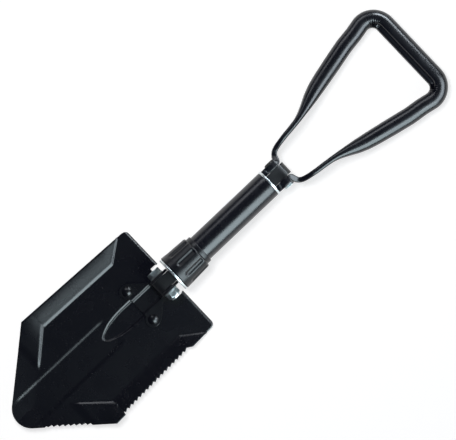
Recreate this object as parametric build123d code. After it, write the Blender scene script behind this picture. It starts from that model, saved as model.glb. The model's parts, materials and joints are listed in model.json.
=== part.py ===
from build123d import *
from math import asin, atan2, cos, degrees, hypot, pi, radians, sin, sqrt, tan
import os

# A folding camp shovel: blade, shaft with a screw-down locking collar, and a
# D-handle. Millimetres. The tool frame has its origin on the blade hinge, +X
# along the shaft towards the grip, +Z out of the blade's front face, and the
# saw edge on the -Y side. The finished part is laid on its heel and hand bar.

# ---- shaft and core ----
hinge_span = 166.7  # blade hinge to handle hinge
tube_radius = 15.15
tube_wall = 1.5
tube_start = 19.8
upper_plate_top = 154.2  # bearing face below the handle's arms
plate_thickness = 2.6
upper_plate_radius = 15.7
tongue_width = 14.0
tongue_height = 19.6
tongue_depth = 34.0  # tongue block from its hinge into the tube
tongue_overhang = 1.6  # rounded end set beyond the hinge
tie_rod_radius = 6.0

# ---- locking collar ----
lower_plate_low = 12.8
lower_plate_radius = 20.2
collar_low = 15.5
collar_high = 53.2
collar_radius_low = 20.7
collar_radius_high = 19.2
collar_band = 6.5  # smooth band below the flutes
collar_neck = 5.0  # plain rim above the flutes
collar_neck_radius = 16.8
flute_count = 9
flute_radius = 4.4
flute_depth = 1.3
thread_radius = 16.2
thread_start, thread_end = 20.6, 46.0
insert_radius = 17.2
insert_start, insert_end = 18.4, 44.0

# ---- hinges ----
bolt_radius = 4.0  # blade hinge
nut_across_flats = 13.0
nut_thickness = 5.8
nut_nose = 2.2
hex_head_height = 5.5
washer_radius = 8.0
washer_thickness = 1.6
handle_bolt_radius = 3.0
handle_nut_across_flats = 10.0
handle_nut_thickness = 2.0
thread_showing = 0.4
bolt_clearance = 0.1
handle_washer_radius = 6.1
handle_washer_thickness = 0.8
sleeve_radius = 5.5
running_gap = 0.05
side_gap = 0.2  # tongue to each cheek
ear_thickness = 3.0
ear_reach = 12.5  # round ear end, clear of the bearing plate
ear_front = -12.0

# ---- blade ----
sheet = 2.0
blade_top = -22.0  # front face of the flat middle
shoulder_x = 10.0
shoulder_y = 68.8
shoulder_radius = 3.0
corner_x = -136.5
corner_y = 73.6
nose_x = -212.0
nose_radius = 21.0
nose_slope = 40.2  # long nose edge against the axis, degrees
notch_half = 20.5
notch_x = 0.5
channel_half = 16.0
rib_y = 52.5
rib_width = 3.6
panel_rise = 0.6
rib_rise = 1.2
margin_rise = 3.6
flange_width = 2.4  # rear edge turned down, for the foot
flange_foot = -25.6
trough_half = 11.5  # round-ended trough pressed into the blade below the bracket
trough_tip = -88.0
trough_depth = 2.4
trough_taper = 30.0
lobe_bead = ((-149.0, 32.0), (-124.0, 53.5))  # pressed beads, as on the +Y side
rear_bead = ((-25.6, 53.8), (-12.6, 61.4))
saw_teeth = 17
saw_start, saw_end = -29.0, -123.0
saw_depth = 2.2
saw_recess = 1.8
nose_pitch = 5.9
nose_teeth = 8
nose_saw_start = 27.0  # plain length of the nose edge beside the corner
bead_radius = 2.4

# ---- hinge bracket ----
bracket_sheet = 2.6
bracket_front = -37.7
bracket_rear = 0.2
saddle_half = 14.2
saddle_trough_half = 9.6
rivet_x, rivet_y = -33.9, 20.0
rivet_head_radius = 5.3
rivet_head_height = 2.6
rivet_shank_radius = 2.5
lug_radius = 8.2

# ---- D-handle ----
grip_tube_radius = 10.2
grip_wall = 1.5
bar_x = 357.2
arm_gap_half = tongue_width / 2 + side_gap
cheek_outer = 14.6
cheek_reach = 12.1  # round cheek end, clear of the bearing plate
neck_x = 177.4  # the arm leaves the plate's width here
neck_half_height = 5.6
neck_round = 8.5  # the cheek stays a full disc to here
strap_half_height = 14.0
strap_end_x = 220.2
strap_inner, strap_outer = 24.2, 30.4  # the strap's two faces where it ends
hollow_start_x = 229.0
run_in = 3.0  # the spreading run reaches this far into the round tube
round_start_x = 262.2
round_start_y = 39.8
arm_knee = (309.2, 50.4)
bar_half = 56.3
corner_bend = 17.5
arm_inner_bends = ((184.9, 19.2), (204.2, 21.9))
arm_outer_bends = ((204.2, 28.6), (193.2, 26.9), (184.5, 24.9), (179.2, 21.4))
bolt_head_radius = 6.1
bolt_head_height = 1.8

middle = (Align.CENTER, Align.CENTER, Align.CENTER)
upward = (Align.CENTER, Align.CENTER, Align.MIN)


def along_x(radius, start, end):
    """Round bar on the shaft's axis."""
    return Pos(start, 0, 0) * Rot(0, 90, 0) * Cylinder(radius, end - start, align=upward)


def along_y(radius, low, high, x=0.0):
    """Round bar across the shaft, at a hinge."""
    return Pos(x, low, 0) * Rot(-90, 0, 0) * Cylinder(radius, high - low, align=upward)


def hex_along_y(across_flats, low, high, x=0.0):
    hexagon = RegularPolygon(across_flats / 2 / cos(pi / 6), 6)
    return Pos(x, low, 0) * Rot(-90, 0, 0) * extrude(hexagon, high - low)


def block(x, y, z):
    """Box between two corners, given as three (low, high) pairs."""
    size = [pair[1] - pair[0] for pair in (x, y, z)]
    centre = [(pair[0] + pair[1]) / 2 for pair in (x, y, z)]
    return Pos(*centre) * Box(*size)


def plan(points, low, high):
    """Prism over an outline in the XY plane."""
    return Pos(0, 0, low) * extrude(make_face(Polyline(*points, close=True)), high - low)


def mirrored_y(shape):
    return mirror(shape, about=Plane.XZ)


def tongue(hinge_x, inward):
    """Tongue block with a rounded end and a bore for the hinge sleeve."""
    half_w, half_h = tongue_width / 2, tongue_height / 2
    tip = hinge_x - inward * tongue_overhang
    reach = sorted((tip, hinge_x + inward * tongue_depth))
    body = block(reach, (-half_w, half_w), (-half_h, half_h))
    body += along_y(half_h, -half_w, half_w, tip)
    return body - along_y(sleeve_radius + running_gap, -half_w - 1, half_w + 1, hinge_x)


def tie_bar():
    rod = along_x(tie_rod_radius, tongue_depth - 2, hinge_span - tongue_depth + 2)
    return tongue(0, 1) + tongue(hinge_span, -1) + rod


def bearing_plate(radius, low, slot_gap):
    disc = along_x(radius, low, low + plate_thickness)
    half_w, half_h = tongue_width / 2 + slot_gap, tongue_height / 2 + slot_gap
    slot = block((low - 1, low + plate_thickness + 1), (-half_w, half_w), (-half_h, half_h))
    return chamfer(disc.edges().filter_by(GeomType.CIRCLE), 0.5) - slot


def shaft_tube():
    end = upper_plate_top - plate_thickness
    return along_x(tube_radius, tube_start, end) - along_x(
        tube_radius - tube_wall, tube_start - 1, end + 1
    )


def thread_sleeve():
    return along_x(thread_radius, thread_start, thread_end) - along_x(
        tube_radius, thread_start - 1, thread_end + 1
    )


def thread_insert():
    return along_x(insert_radius, insert_start, insert_end) - along_x(
        thread_radius + running_gap, insert_start - 1, insert_end + 1
    )


def flute(angle, start, end):
    """Round-ended groove on the collar's tapered side."""
    lean = degrees(atan2(collar_radius_low - collar_radius_high, collar_high - collar_low))
    centre = collar_radius_low - flute_depth + flute_radius - 0.4
    groove = Cylinder(flute_radius, end - start, align=upward)
    groove += Sphere(flute_radius)
    groove += Pos(0, 0, end - start) * Sphere(flute_radius)
    return Rot(angle, 0, 0) * Pos(start, 0, centre) * Rot(0, 90 + lean, 0) * groove


def locking_collar():
    shoulder = collar_high - collar_neck
    outline = [
        (collar_low, 0),
        (collar_low, collar_radius_low - 0.8),
        (collar_low + 0.8, collar_radius_low),
        (shoulder - 1.5, collar_radius_high),
        (shoulder, collar_radius_high - 1.5),
        (shoulder, collar_neck_radius),
        (collar_high - 0.6, collar_neck_radius),
        (collar_high, collar_neck_radius - 0.6),
        (collar_high, 0),
    ]
    profile = make_face(Polyline(*[(x, 0, r) for x, r in outline], close=True))
    body = revolve(profile, Axis.X)
    first, last = collar_low + collar_band + flute_radius, shoulder - 2.0
    for i in range(flute_count):
        body -= flute(360 * i / flute_count, first, last)
    body -= along_x(insert_radius, collar_low - 1, insert_end)
    body -= along_x(thread_radius + 0.3, insert_end - 1, thread_end + 0.4)
    return body - along_x(tube_radius + 0.3, thread_end, collar_high + 1)


def sleeve(x, bore):
    """Spacer round a hinge bolt, clamped between the two cheeks."""
    low, high = -arm_gap_half, arm_gap_half
    return along_y(sleeve_radius, low, high, x) - along_y(bore, low - 1, high + 1, x)


def washer(x, face, thickness, radius, bore):
    ring = along_y(radius, -face - thickness, -face, x)
    return ring - along_y(bore, -face - thickness - 1, -face + 1, x)


def hinge_nut(x, face, thickness, across_flats, bore, nose=0.0):
    """Lock nut on the -Y side, its round nose outwards."""
    end = -face - thickness - nose
    nut = hex_along_y(across_flats, -face - thickness, -face, x)
    if nose:
        nut += along_y(across_flats / 2 - 0.9, end, -face, x)
    return nut - along_y(bore, end - 1, -face + 1, x)


def nose_edge():
    """Where the nose arc meets the long nose edge, on the +Y side."""
    slope = radians(nose_slope)
    centre = nose_x + nose_radius
    return centre - nose_radius * sin(slope), nose_radius * cos(slope)


def corner_start():
    """Outer corner moved along the nose edge's own line."""
    x, y = nose_edge()
    slope = radians(nose_slope)
    return corner_x, y + (corner_x - x) * tan(slope)


def saw_line():
    """Teeth along the -Y side from the shoulder to the blade's corner."""
    def side(x):
        return corner_y + (x - corner_x) * (shoulder_y - corner_y) / (8.0 - corner_x)

    pitch = (saw_start - saw_end) / saw_teeth
    points = [(saw_start + 6.0, -side(saw_start + 6.0))]
    for i in range(saw_teeth):
        x = saw_start - i * pitch
        points.append((x, saw_recess + saw_depth - side(x)))
        points.append((x - pitch * 0.75, saw_recess - side(x - pitch * 0.75)))
    points.append((saw_end, saw_recess + saw_depth - side(saw_end)))
    points.append((saw_end - 0.8, -side(saw_end - 0.8)))
    return points


def nose_saw_line():
    """Teeth along the -Y nose edge, from beside the corner to the nose arc."""
    x0, y0 = corner_start()
    x1, y1 = nose_edge()
    length = hypot(x1 - x0, y1 - y0)
    along = ((x1 - x0) / length, (y0 - y1) / length)
    inward = (along[1], -along[0])

    def at(distance, depth):
        return (
            x0 + along[0] * distance + inward[0] * depth,
            -y0 + along[1] * distance + inward[1] * depth,
        )

    points = [at(nose_saw_start, 0.0)]
    for i in range(nose_teeth):
        near = nose_saw_start + i * nose_pitch
        points.append(at(near + 0.6, saw_depth))
        points.append(at(near + nose_pitch * 0.8, 0.3))
    points.append(at(nose_saw_start + nose_teeth * nose_pitch + 0.6, saw_depth * 0.6))
    return points


def blade_outline():
    """Outline of the sheet: plain +Y side, saw on the -Y side and nose edge."""
    tip_x, tip_y = nose_edge()
    far_x, far_y = corner_start()
    top = [
        (notch_x, 0),
        (notch_x, notch_half),
        (shoulder_x, notch_half),
        (shoulder_x, shoulder_y - shoulder_radius),
        (shoulder_x - shoulder_radius, shoulder_y),
        (far_x, far_y),
        (tip_x, tip_y),
    ]
    low = [
        (far_x, -far_y),
        *reversed(saw_line()),
        (shoulder_x - shoulder_radius, -shoulder_y),
        (shoulder_x, shoulder_radius - shoulder_y),
        (shoulder_x, -notch_half),
        (notch_x, -notch_half),
        (notch_x, 0),
    ]
    edge = Polyline(*top)
    edge += ThreePointArc((tip_x, tip_y), (nose_x, 0), (tip_x, -tip_y))
    edge += Polyline((tip_x, -tip_y), *reversed(nose_saw_line()), *low)
    return make_face(edge)


def crossing():
    """Half of the sheet's section across the blade, as (y, rise) points."""
    return [
        (0, 0),
        (channel_half, 0),
        (rib_y, panel_rise),
        (rib_y + rib_width, panel_rise + rib_rise),
        (corner_y + 5, panel_rise + rib_rise + margin_rise),
    ]


def trough(half, top):
    """Space of the pressed trough, its mouth at height top, open past the heel."""
    centre = trough_tip + trough_half
    far = notch_x + 20
    mouth = Polyline((centre, -half), (far, -half), (far, half), (centre, half))
    mouth += ThreePointArc((centre, half), (centre - half, 0), (centre, -half))
    form = extrude(make_face(mouth), trough_depth, taper=trough_taper)
    return Pos(0, 0, top) * Rot(180, 0, 0) * form


def bead(start, end, z):
    """Pressed bead between two points of the sheet."""
    run = Vector(*end) - Vector(*start)
    turn = degrees(atan2(run.Y, run.X))
    form = Rot(0, 90, 0) * Cylinder(bead_radius, run.length, align=upward)
    form += Sphere(bead_radius) + Pos(run.length, 0, 0) * Sphere(bead_radius)
    return Pos(start[0], start[1], z) * Rot(0, 0, turn) * form


def blade():
    half = crossing()
    front = [(y, z) for y, z in half] + [(y, z - sheet) for y, z in reversed(half)]
    section = make_face(Polyline(*[(0, y, blade_top + z) for y, z in front], close=True))
    length = shoulder_x - nose_x + 2
    form = Pos(nose_x - 1, 0, 0) * extrude(section, length, dir=(1, 0, 0))
    form += mirrored_y(form)
    crest = [(y, blade_top + z - sheet / 4) for y, z in half[1:]]
    skirt = [(half[-1][0], flange_foot), (channel_half, flange_foot)]
    drop = make_face(Polyline(*[(0, y, z) for y, z in crest + skirt], close=True))
    flange = Pos(shoulder_x - flange_width, 0, 0) * extrude(drop, flange_width, dir=(1, 0, 0))
    form += flange + mirrored_y(flange)
    for side in (1, -1):
        for (start, end), z in ((lobe_bead, blade_top - 0.9), (rear_bead, blade_top + 1.2)):
            form += bead((start[0], side * start[1]), (end[0], side * end[1]), z)
    form += trough(trough_half, blade_top - sheet)
    form -= trough(trough_half, blade_top)
    prism = Pos(0, 0, -40) * extrude(blade_outline(), 40)
    form = form & prism
    for side in (1, -1):
        form -= Pos(rivet_x, side * rivet_y, -30) * Cylinder(rivet_shank_radius, 20, align=upward)
    return form


def ear():
    inner = arm_gap_half
    outer = inner + ear_thickness
    form = along_y(ear_reach, inner, outer)
    form += block((ear_front, 8.0), (inner, outer), (blade_top - 0.6, 0))
    form -= block((-30, ear_front), (0, 30), (-30, 30))
    return form


def hinge_bracket(sheet_form):
    """Pressed bracket: riveted wings, a middle nested in the trough and two ears."""
    wing = [
        (bracket_front, 0),
        (bracket_front, saddle_half),
        (rivet_x - lug_radius * 0.7, rivet_y - 2.5),
        (rivet_x - lug_radius * 0.2, rivet_y + lug_radius * 0.97),
        (rivet_x + lug_radius * 0.7, rivet_y + lug_radius * 0.7),
        (-16.0, saddle_half),
        (bracket_rear, saddle_half - 2),
        (bracket_rear, 0),
    ]
    wings = plan(wing, blade_top, blade_top + bracket_sheet)
    wings += Pos(rivet_x, rivet_y, blade_top) * Cylinder(lug_radius, bracket_sheet, align=upward)
    wings += mirrored_y(wings)
    nested = trough(trough_half, blade_top)
    wings += nested & block((bracket_front, bracket_rear), (-20, 20), (-30, 0))
    wings -= trough(saddle_trough_half, blade_top + bracket_sheet)
    wings += ear() + mirrored_y(ear())
    wings -= sheet_form
    for side in (1, -1):
        wings -= Pos(rivet_x, side * rivet_y, -30) * Cylinder(
            rivet_shank_radius, 20, align=upward
        )
    return wings - along_y(bolt_radius + bolt_clearance, -20, 20)


def rivet(side):
    """Dome-headed rivet, its tail set against the back of the sheet."""
    seat = blade_top + bracket_sheet
    cap_radius = (rivet_head_radius**2 + rivet_head_height**2) / (2 * rivet_head_height)
    cap = Pos(0, 0, seat + rivet_head_height - cap_radius) * Sphere(cap_radius)
    head = cap & block((-9, 9), (-9, 9), (seat, seat + 9))
    back = blade_top - sheet
    stem = Pos(0, 0, back - 0.4) * Cylinder(rivet_shank_radius, seat - back + 1, align=upward)
    return Pos(rivet_x, side * rivet_y, 0) * (head + stem)


def blade_bolt():
    face = arm_gap_half + ear_thickness + washer_thickness
    head = hex_along_y(nut_across_flats, face, face + hex_head_height)
    end = -face - nut_thickness - nut_nose - thread_showing
    return head + along_y(bolt_radius, end, face)


def arm_outline():
    """Plan of one flattened arm, from its hinge cheek to the round tube."""
    start = hinge_span - cheek_reach
    return [
        (start, arm_gap_half),
        (hinge_span + 6.6, arm_gap_half),
        (neck_x, upper_plate_radius + 0.3),
        *arm_inner_bends,
        (strap_end_x, strap_inner),
        (strap_end_x, strap_outer),
        *arm_outer_bends,
        (173.4, cheek_outer),
        (start, cheek_outer),
    ]


def arm():
    """Flattened tube end: cheek beside the tongue, offset bend, straight strap."""
    strap = plan(arm_outline(), -strap_half_height, strap_half_height)
    shoulder = sqrt(cheek_reach**2 - neck_round**2)
    outline = Polyline(
        (hinge_span + neck_round, -shoulder),
        (neck_x, -neck_half_height),
        (neck_x + 3.0, -neck_half_height - 0.6),
        (197.0, -strap_half_height),
        (strap_end_x, -strap_half_height),
        (strap_end_x, strap_half_height),
        (197.0, strap_half_height),
        (neck_x + 3.0, neck_half_height + 0.6),
        (neck_x, neck_half_height),
        (hinge_span + neck_round, shoulder),
    )
    end = ThreePointArc(
        (hinge_span + neck_round, shoulder),
        (hinge_span - cheek_reach, 0),
        (hinge_span + neck_round, -shoulder),
    )
    side = extrude(Plane.XZ * make_face(outline + end), 60, both=True)
    return strap & side


def eight_sided(x, y, half_across, half_height, cut):
    """Section of the squashed tube across the arm, its corners cut at 45 degrees."""
    low, high = y - half_across, y + half_across
    points = [
        (low + cut, -half_height), (high - cut, -half_height),
        (high, cut - half_height), (high, half_height - cut),
        (high - cut, half_height), (low + cut, half_height),
        (low, half_height - cut), (low, cut - half_height),
    ]
    return make_face(Polyline(*[(x, v, w) for v, w in points], close=True))


def transition():
    """Hollow run between the flat strap and the round grip, spreading as it goes."""
    knee_x, knee_y = arm_knee
    slope = (knee_y - round_start_y) / (knee_x - round_start_x)
    end_y = round_start_y + run_in * slope
    end_x = round_start_x + run_in
    flat = grip_tube_radius * cos(pi / 8) - 0.1
    bore = (grip_tube_radius - grip_wall) * cos(pi / 8) + 0.3
    strap_y = (strap_inner + strap_outer) / 2
    strap_half = (strap_outer - strap_inner) / 2
    corner = 2 * tan(pi / 8) * sqrt(0.5)
    skin = loft([
        eight_sided(strap_end_x - 1.0, strap_y, strap_half - 0.1, strap_half_height - 0.2, 1.2),
        eight_sided(end_x, end_y, flat, flat, flat * corner),
    ], ruled=True)
    hollow = loft([
        eight_sided(hollow_start_x, strap_y + 2.6, 1.6, 9.0, 0.7),
        eight_sided(end_x + 1.0, end_y, bore, bore, bore * corner),
    ], ruled=True)
    return skin - hollow


def d_handle():
    corners = [
        (round_start_x, round_start_y),
        arm_knee,
        (bar_x, bar_half),
        (bar_x, -bar_half),
        (arm_knee[0], -arm_knee[1]),
        (round_start_x, -round_start_y),
    ]
    path = FilletPolyline(*corners, radius=[60.0, corner_bend, corner_bend, 60.0])
    across = Plane(origin=path @ 0, z_dir=path % 0)
    ring = Circle(grip_tube_radius) - Circle(grip_tube_radius - grip_wall)
    grip = sweep(across * ring, path)
    side = arm() + transition()
    grip += side + mirrored_y(side)
    return grip - along_y(handle_bolt_radius + bolt_clearance, -20, 20, hinge_span)


def handle_bolt():
    low = cheek_outer
    head = along_y(bolt_head_radius, low, low + bolt_head_height, hinge_span)
    head = chamfer(head.edges().sort_by(Axis.Y)[-1], 1.0)
    end = -cheek_outer - handle_washer_thickness - handle_nut_thickness - 0.1
    return head + along_y(handle_bolt_radius, end, low, hinge_span)


sheet_form = blade()
blade_face = arm_gap_half + ear_thickness
blade_washer = washer(0, blade_face, washer_thickness, washer_radius, bolt_radius + bolt_clearance)
nodes = {
    "shaft_tube": shaft_tube(),
    "tie_bar": tie_bar(),
    "upper_bearing_plate": bearing_plate(
        upper_plate_radius, upper_plate_top - plate_thickness, 0.05
    ),
    "tube_thread_sleeve": thread_sleeve(),
    "lower_bearing_plate": bearing_plate(lower_plate_radius, lower_plate_low, 0.1),
    "locking_collar": locking_collar(),
    "collar_thread_insert": thread_insert(),
    "blade": sheet_form,
    "hinge_bracket": hinge_bracket(sheet_form),
    "bracket_rivets": Compound([rivet(1), rivet(-1)]),
    "blade_hinge_bolt": blade_bolt(),
    "blade_hinge_nut": hinge_nut(
        0,
        blade_face + washer_thickness,
        nut_thickness,
        nut_across_flats,
        bolt_radius,
        nose=nut_nose,
    ),
    "blade_hinge_washers": blade_washer + mirrored_y(blade_washer),
    "blade_hinge_sleeve": sleeve(0, bolt_radius + running_gap),
    "d_handle": d_handle(),
    "handle_hinge_bolt": handle_bolt(),
    "handle_hinge_nut": hinge_nut(
        hinge_span,
        cheek_outer + handle_washer_thickness,
        handle_nut_thickness,
        handle_nut_across_flats,
        handle_bolt_radius,
    ),
    "handle_hinge_washer": washer(
        hinge_span,
        cheek_outer,
        handle_washer_thickness,
        handle_washer_radius,
        handle_bolt_radius + bolt_clearance,
    ),
    "handle_hinge_sleeve": sleeve(hinge_span, handle_bolt_radius + running_gap),
}

# The tool lies on the heel end of the trough and on the hand bar.
heel_z = blade_top - sheet - trough_depth
heel_arm = bar_x - notch_x
lie = atan2(-heel_z, heel_arm) - asin(grip_tube_radius / hypot(heel_arm, heel_z))
laid = Rot(0, degrees(lie), 0)
boxes = [(laid * form).bounding_box() for form in nodes.values()]
low_x, high_x = min(b.min.X for b in boxes), max(b.max.X for b in boxes)
low_y, high_y = min(b.min.Y for b in boxes), max(b.max.Y for b in boxes)
low_z = min(b.min.Z for b in boxes)
place = Pos(-(low_x + high_x) / 2, -(low_y + high_y) / 2, -low_z) * laid

for name, form in nodes.items():
    export_step(place * form, f"parts/{name}.step")
for label, x in (("blade hinge", 0.0), ("handle hinge", hinge_span), ("bar", bar_x)):
    spot = (place * Pos(x, 0, 0)).position
    print(label, round(spot.X, 4), round(spot.Y, 4), round(spot.Z, 4))
print("lie", round(degrees(lie), 4))
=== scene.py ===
import json
import math

import bmesh
import bpy
import numpy as np
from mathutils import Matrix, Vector


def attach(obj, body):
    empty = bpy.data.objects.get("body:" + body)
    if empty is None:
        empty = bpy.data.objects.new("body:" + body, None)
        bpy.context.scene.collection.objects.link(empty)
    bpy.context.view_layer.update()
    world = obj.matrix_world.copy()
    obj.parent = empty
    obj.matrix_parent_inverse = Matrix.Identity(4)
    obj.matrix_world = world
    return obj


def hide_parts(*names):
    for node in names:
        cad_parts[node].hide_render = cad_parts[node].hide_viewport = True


# Folding camp shovel. Every shape is worked out in the tool's own frame, in
# millimetres: x from the blade hinge towards the grip, y across, z out of the
# blade's front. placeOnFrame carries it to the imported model's frame.

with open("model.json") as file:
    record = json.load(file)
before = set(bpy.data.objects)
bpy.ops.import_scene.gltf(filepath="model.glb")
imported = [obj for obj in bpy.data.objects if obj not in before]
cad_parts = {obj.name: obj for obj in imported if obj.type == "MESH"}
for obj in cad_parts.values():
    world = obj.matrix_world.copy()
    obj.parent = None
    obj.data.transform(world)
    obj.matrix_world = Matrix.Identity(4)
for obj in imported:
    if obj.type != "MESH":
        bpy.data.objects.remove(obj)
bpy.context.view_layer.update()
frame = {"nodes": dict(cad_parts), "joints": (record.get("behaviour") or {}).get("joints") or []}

hinges = {
    joint["name"]: np.array(joint["pos_m"], float)
    for joint in frame["joints"] if "pos_m" in joint
}
bladeHinge = hinges["blade_fold"]
handleHinge = hinges["handle_fold"]
alongTool = (handleHinge - bladeHinge) / np.linalg.norm(handleHinge - bladeHinge)
acrossTool = np.array([0.0, 1.0, 0.0])
outOfTool = np.cross(alongTool, acrossTool)
hingeSpan = float(np.linalg.norm(handleHinge - bladeHinge)) * 1000


def placeOnFrame(points):
    # hinge position plus x, y and z times the tool's three directions
    axes = np.stack([alongTool, acrossTool, outOfTool])
    return bladeHinge + (np.asarray(points, float).reshape(-1, 3) @ axes) / 1000


def easeStep(t):
    # three t squared minus two t cubed, held at 0 below 0 and at 1 above 1
    t = np.clip(t, 0.0, 1.0)
    return t * t * (3 - 2 * t)


def circleAngles(steps):
    return np.arange(steps) * (2 * math.pi / steps)


def gridQuads(rows, columns, around=False, joined=False):
    # every cell of a rows by columns grid; around closes the columns, joined the rows
    i = np.arange(rows if joined else rows - 1)
    j = np.arange(columns if around else columns - 1)
    a, b = np.meshgrid(i, j, indexing="ij")
    nextA, nextB = (a + 1) % rows, (b + 1) % columns
    corners = [(a, b), (a, nextB), (nextA, nextB), (nextA, b)]
    return np.stack([p * columns + q for p, q in corners], -1).reshape(-1, 4)


def ringShell(rings, joined=True):
    # rings of points skinned into a closed shell: a torus, or with a fan at both ends
    rows, columns = rings.shape[:2]
    points = rings.reshape(-1, 3)
    faces = gridQuads(rows, columns, around=True, joined=joined).tolist()
    if not joined:
        points = np.vstack([points, rings[0].mean(0), rings[-1].mean(0)])
        count = rows * columns
        base = (rows - 1) * columns
        here = np.arange(columns)
        after = (here + 1) % columns
        first = np.stack([np.full(columns, count), after, here], -1)
        last = np.stack([np.full(columns, count + 1), base + here, base + after], -1)
        faces += first.tolist() + last.tolist()
    return points, faces


def sheetShell(front, back, kept):
    # two grids a sheet's thickness apart, closed by a rim along every open edge
    rows, columns = front.shape[:2]
    count = rows * columns
    index = np.arange(count).reshape(rows, columns)
    a, b = index[:-1, :-1], index[:-1, 1:]
    c, d = index[1:, 1:], index[1:, :-1]
    top = np.stack([a, b, c, d], -1)[kept]
    bottom = np.stack([d, c, b, a], -1)[kept] + count
    padded = np.pad(kept, 1)
    rims = []
    for near, far, beside in (
        (a, b, padded[:-2, 1:-1]), (b, c, padded[1:-1, 2:]),
        (c, d, padded[2:, 1:-1]), (d, a, padded[1:-1, :-2]),
    ):
        edge = kept & ~beside
        p, q = near[edge], far[edge]
        rims.append(np.stack([q, p, p + count, q + count], -1))
    faces = np.vstack([top, bottom] + rims)
    used, fresh = np.unique(faces, return_inverse=True)
    points = np.vstack([front.reshape(-1, 3), back.reshape(-1, 3)])[used]
    return points, fresh.reshape(-1, 4).tolist()


def finishPiece(name, body, material, replaced, shells, sharpDegrees=38):
    points, faces, base = [], [], 0
    for shellPoints, shellFaces in shells:
        points.append(placeOnFrame(shellPoints))
        faces += [[base + k for k in face] for face in shellFaces]
        base += len(shellPoints)
    mesh = bpy.data.meshes.new(name)
    mesh.from_pydata(np.vstack(points).tolist(), [], faces)
    cleaner = bmesh.new()
    cleaner.from_mesh(mesh)
    bmesh.ops.remove_doubles(cleaner, verts=cleaner.verts, dist=1e-7)
    bmesh.ops.recalc_face_normals(cleaner, faces=cleaner.faces)
    cleaner.to_mesh(mesh)
    cleaner.free()
    mesh.shade_smooth()
    mesh.set_sharp_from_angle(angle=math.radians(sharpDegrees))
    mesh.materials.append(material)
    piece = bpy.data.objects.new(name, mesh)
    bpy.context.scene.collection.objects.link(piece)
    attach(piece, body)
    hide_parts(*replaced)
    print("made", name, len(mesh.polygons), "faces")
    return piece


def turned(profile, steps=96, across="x", centre=(0.0, 0.0, 0.0), outline=None):
    # profile of (position along the axis, radius) turned about x or y; outline caps
    # the radius by angle, which makes hexagons
    angle = circleAngles(steps)
    at = np.array([p[0] for p in profile], float)[:, None]
    radius = np.array([p[1] for p in profile], float)[:, None] * np.ones((1, steps))
    if outline is not None:
        radius = np.minimum(radius, outline(angle)[None, :])
    u, v = radius * np.cos(angle), radius * np.sin(angle)
    at = at * np.ones((1, steps))
    rings = np.stack([at, u, v], -1) if across == "x" else np.stack([v, at, u], -1)
    return rings + np.array(centre)


def fromHex(text):
    # sRGB channels to linear: over 12.92 in the toe, else a power of 2.4
    channels = np.array([int(text[k:k + 2], 16) for k in (1, 3, 5)]) / 255
    toe = channels / 12.92
    linear = np.where(channels <= 0.04045, toe, ((channels + 0.055) / 1.055) ** 2.4)
    return (*linear.tolist(), 1.0)


def addNode(tree, kind, settings=None, **sockets):
    # sockets go by name, with _ for a space, or by number as i0, i6 and so on
    node = tree.nodes.new(kind)
    for key, value in (settings or {}).items():
        setattr(node, key, value)
    for key, value in sockets.items():
        byNumber = key[0] == "i" and key[1:].isdigit()
        socket = node.inputs[int(key[1:]) if byNumber else key.replace("_", " ")]
        if isinstance(value, bpy.types.NodeSocket):
            tree.links.new(value, socket)
        else:
            socket.default_value = value
    return node


def newMaterial(name):
    material = bpy.data.materials.new(name)
    material.use_nodes = True
    material.node_tree.nodes.clear()
    return material, material.node_tree


def addNoise(tree, where, sizeMm, detail):
    # noise whose features are about sizeMm across
    return addNode(tree, "ShaderNodeTexNoise", Vector=where, Scale=1000 / sizeMm, Detail=detail)


def addMix(tree, amount, first, second):
    return addNode(tree, "ShaderNodeMix", {"data_type": "RGBA"}, i0=amount, i6=first, i7=second)


def addRough(tree, noise, low, high):
    # the noise's middle range stretched over the roughness range
    return addNode(tree, "ShaderNodeMapRange", Value=noise.outputs["Fac"], From_Min=0.3,
                   From_Max=0.7, To_Min=low, To_Max=high)


def addBump(tree, noise, strength, depthMm):
    return addNode(tree, "ShaderNodeBump", Height=noise.outputs["Fac"], Strength=strength,
                   Distance=depthMm / 1000)


def closeMaterial(tree, tone, rough, bump, **sockets):
    shader = addNode(tree, "ShaderNodeBsdfPrincipled", Base_Color=tone.outputs[2],
                     Roughness=rough.outputs[0], Normal=bump.outputs[0], **sockets)
    addNode(tree, "ShaderNodeOutputMaterial", Surface=shader.outputs[0])


# the edge range, the grey hex and its largest share set a painted highlight along sharp edges
coatMake = {
    "cloudMm": 45.0, "glossMm": 18.0, "speckMm": 6.0, "edgeHighlightHex": "#2a2d32",
    "edgeFrom": 0.545, "edgeTo": 0.62, "mostEdgeHighlight": 0.5, "ior": 1.5,
}
nylonMake = {
    "cloudMm": 12.0, "roughLow": 0.29, "roughHigh": 0.37, "grainMm": 0.7,
    "grainDepthMm": 0.02, "grainStrength": 0.6, "ior": 1.43,
}
zincMake = {
    "cloudMm": 4.0, "dragMm": 3.0, "dragStretch": 9.0, "dragDepthMm": 0.008, "dragStrength": 0.3,
}


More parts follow.
